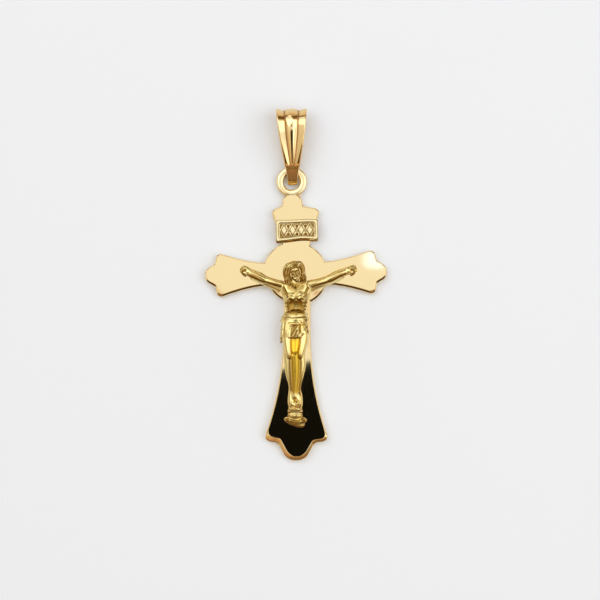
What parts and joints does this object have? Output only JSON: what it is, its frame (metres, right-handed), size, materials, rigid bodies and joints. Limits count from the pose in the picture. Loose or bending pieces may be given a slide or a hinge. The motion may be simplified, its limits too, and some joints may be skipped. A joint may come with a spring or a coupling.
{
  "type": "crucifix pendant",
  "caption": "Flat polished cross pendant with lobed ends, a disc at the crossing, a cast figure and a framed plaque in relief, a soldered ring and a fluted tapered bail.",
  "frame": {"origin": "middle of the pendant's length and width, on the surface that it lies on", "axes": "+Y from the foot of the cross towards the bail, +Z out of the front of the cross, +X towards the arm on the right as the front is seen"},
  "size_m": [0.0254, 0.0492, 0.0044],
  "materials": {
    "polished_plate": "mirror-polished warm yellow gold plating",
    "plaque_gold": "bright cast gold plating with a darker sunk field",
    "cast_gold": "cast and tumbled yellow gold plating, darker in the recesses",
    "bail_gold": "polished gold-plated sheet"
  },
  "bodies": {
    "root": {"cross_plate": "polished_plate", "title_plaque": "plaque_gold", "corpus": "cast_gold", "bail": "bail_gold"}
  },
  "joints": []
}
